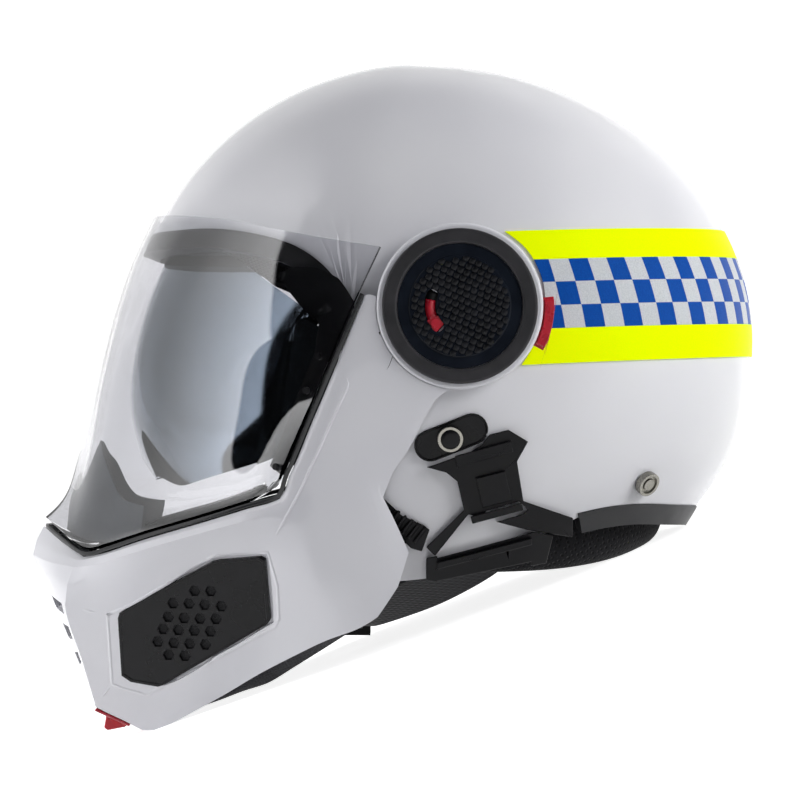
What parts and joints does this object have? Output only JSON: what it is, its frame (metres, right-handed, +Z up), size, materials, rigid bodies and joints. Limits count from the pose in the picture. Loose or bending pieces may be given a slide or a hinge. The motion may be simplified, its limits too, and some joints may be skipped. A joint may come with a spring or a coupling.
{
  "type": "police motorcycle helmet",
  "caption": "Flip-up helmet with a vented face guard and visor, a drop-down mirror sun screen, a padded liner, a chin strap and a chequered band with bright edges.",
  "frame": {"origin": "centre of the bounding box on the table that the helmet stands on", "axes": "+Z up, +X to the wearer's left, -Y towards the face; the helmet stands tipped back on its chin and neck roll"},
  "size_m": [0.2632, 0.366, 0.2596],
  "materials": {
    "shell_white": "clear-coated white paint on a glass-fibre shell",
    "chin_white": "gloss white paint on a moulded guard",
    "foam_liner": "moulded expanded foam",
    "comfort_cloth": "padded spacer-mesh cloth",
    "rubber_trim": "soft moulded edge trim",
    "black_nylon": "fine-grained moulded nylon",
    "stud_black": "black-coated brass",
    "blue_chequer": "retroreflective vinyl film",
    "fluoro_yellow": "fluorescent vinyl film",
    "clear_visor": "clear polycarbonate",
    "mirror_screen": "grey mirror-coated polycarbonate",
    "red_plastic": "moulded signal red",
    "disc_black": "textured gloss black",
    "steel": "bright machined steel",
    "webbing": "woven polyester webbing",
    "filter_foam": "open-cell filter foam"
  },
  "bodies": {
    "shell": {"outer_shell": "shell_white", "eps_liner": "foam_liner", "crown_pad": "comfort_cloth", "cheek_pad_left": "comfort_cloth", "cheek_pad_right": "comfort_cloth", "neck_roll": "comfort_cloth", "brow_trim": "rubber_trim", "neck_trim": "rubber_trim", "side_rail_left": "black_nylon", "side_rail_right": "black_nylon", "latch_receiver_left": "black_nylon", "latch_receiver_right": "black_nylon", "headset_bracket_left": "black_nylon", "headset_bracket_right": "black_nylon", "stud_seat_left": "black_nylon", "stud_seat_right": "black_nylon", "buckle_body": "black_nylon", "front_studs": "stud_black", "rear_studs": "stud_black", "chequer_band": "blue_chequer", "hi_vis_stripes": "fluoro_yellow", "pivot_axle_left": "steel", "pivot_axle_right": "steel", "sun_visor_pins": "steel", "strap_anchors": "steel", "buckle_tongue": "steel", "buckle_pin": "steel", "strap_left": "webbing", "strap_right": "webbing"},
    "face_guard": {"chin_bar": "chin_white", "chin_bar_lining": "foam_liner", "pivot_boss_left": "chin_white", "pivot_boss_right": "chin_white", "pivot_ring_left": "black_nylon", "pivot_ring_right": "black_nylon", "pivot_cover_left": "disc_black", "pivot_cover_right": "disc_black", "vent_panel_left": "black_nylon", "vent_panel_right": "black_nylon", "vent_filter_left": "filter_foam", "vent_filter_right": "filter_foam", "chin_louvres": "black_nylon", "visor": "clear_visor", "visor_gasket": "rubber_trim", "visor_pins": "steel", "breath_deflector": "rubber_trim", "chin_curtain": "comfort_cloth", "latch_pins": "steel"},
    "sun_screen": {"sun_visor": "mirror_screen"},
    "sun_lever": {"sun_visor_lever": "red_plastic"},
    "lock_left": {"lock_pin_left": "red_plastic"},
    "lock_right": {"lock_pin_right": "red_plastic"},
    "release": {"chin_release": "red_plastic"},
    "hook_left": {"latch_hook_left": "steel"},
    "hook_right": {"latch_hook_right": "steel"},
    "pawl": {"buckle_pawl": "red_plastic"}
  },
  "joints": [
    {"name": "face_guard_flip", "type": "hinge", "parent": "shell", "child": "face_guard", "pos_m": [0, 0.04871, 0.13472], "axis": [-1, 0, 0], "range_deg": [0, 100]},
    {"name": "sun_screen_swing", "type": "hinge", "parent": "shell", "child": "sun_screen", "pos_m": [0, 0.02343, 0.09618], "axis": [-1, 0, 0], "range_deg": [0, 42]},
    {"name": "sun_lever_turn", "type": "hinge", "parent": "shell", "child": "sun_lever", "pos_m": [0, 0.04871, 0.13472], "axis": [-1, 0, 0], "range_deg": [0, 35]},
    {"name": "lock_left_turn", "type": "hinge", "parent": "face_guard", "child": "lock_left", "pos_m": [0, 0.04871, 0.13472], "axis": [-1, 0, 0], "range_deg": [0, 50]},
    {"name": "lock_right_turn", "type": "hinge", "parent": "face_guard", "child": "lock_right", "pos_m": [0, 0.04871, 0.13472], "axis": [-1, 0, 0], "range_deg": [0, 50]},
    {"name": "release_pull", "type": "slide", "parent": "face_guard", "child": "release", "axis": [0, -0.7054, 0.7088], "range_m": [0, 0.005], "stiffness_N_per_m": 900, "springref_m": -0.001},
    {"name": "hook_left_lift", "type": "hinge", "parent": "face_guard", "child": "hook_left", "pos_m": [0, -0.04023, 0.06361], "axis": [-1, 0, 0], "range_deg": [0, 6]},
    {"name": "hook_right_lift", "type": "hinge", "parent": "face_guard", "child": "hook_right", "pos_m": [0, -0.04023, 0.06361], "axis": [-1, 0, 0], "range_deg": [0, 6]},
    {"name": "pawl_lift", "type": "hinge", "parent": "shell", "child": "pawl", "pos_m": [0.015, -0.05232, 0.02039], "axis": [0, 0.9352, -0.3541], "range_deg": [0, 30], "stiffness_Nm_per_rad": 0.02, "springref_deg": -14.32}
  ],
  "couplings": [
    {"joint": "sun_screen_swing", "follows": "sun_lever_turn", "ratio": 1.2},
    {"joint": "hook_left_lift", "follows": "release_pull", "rad_per_m": 20.9},
    {"joint": "hook_right_lift", "follows": "release_pull", "rad_per_m": 20.9}
  ]
}
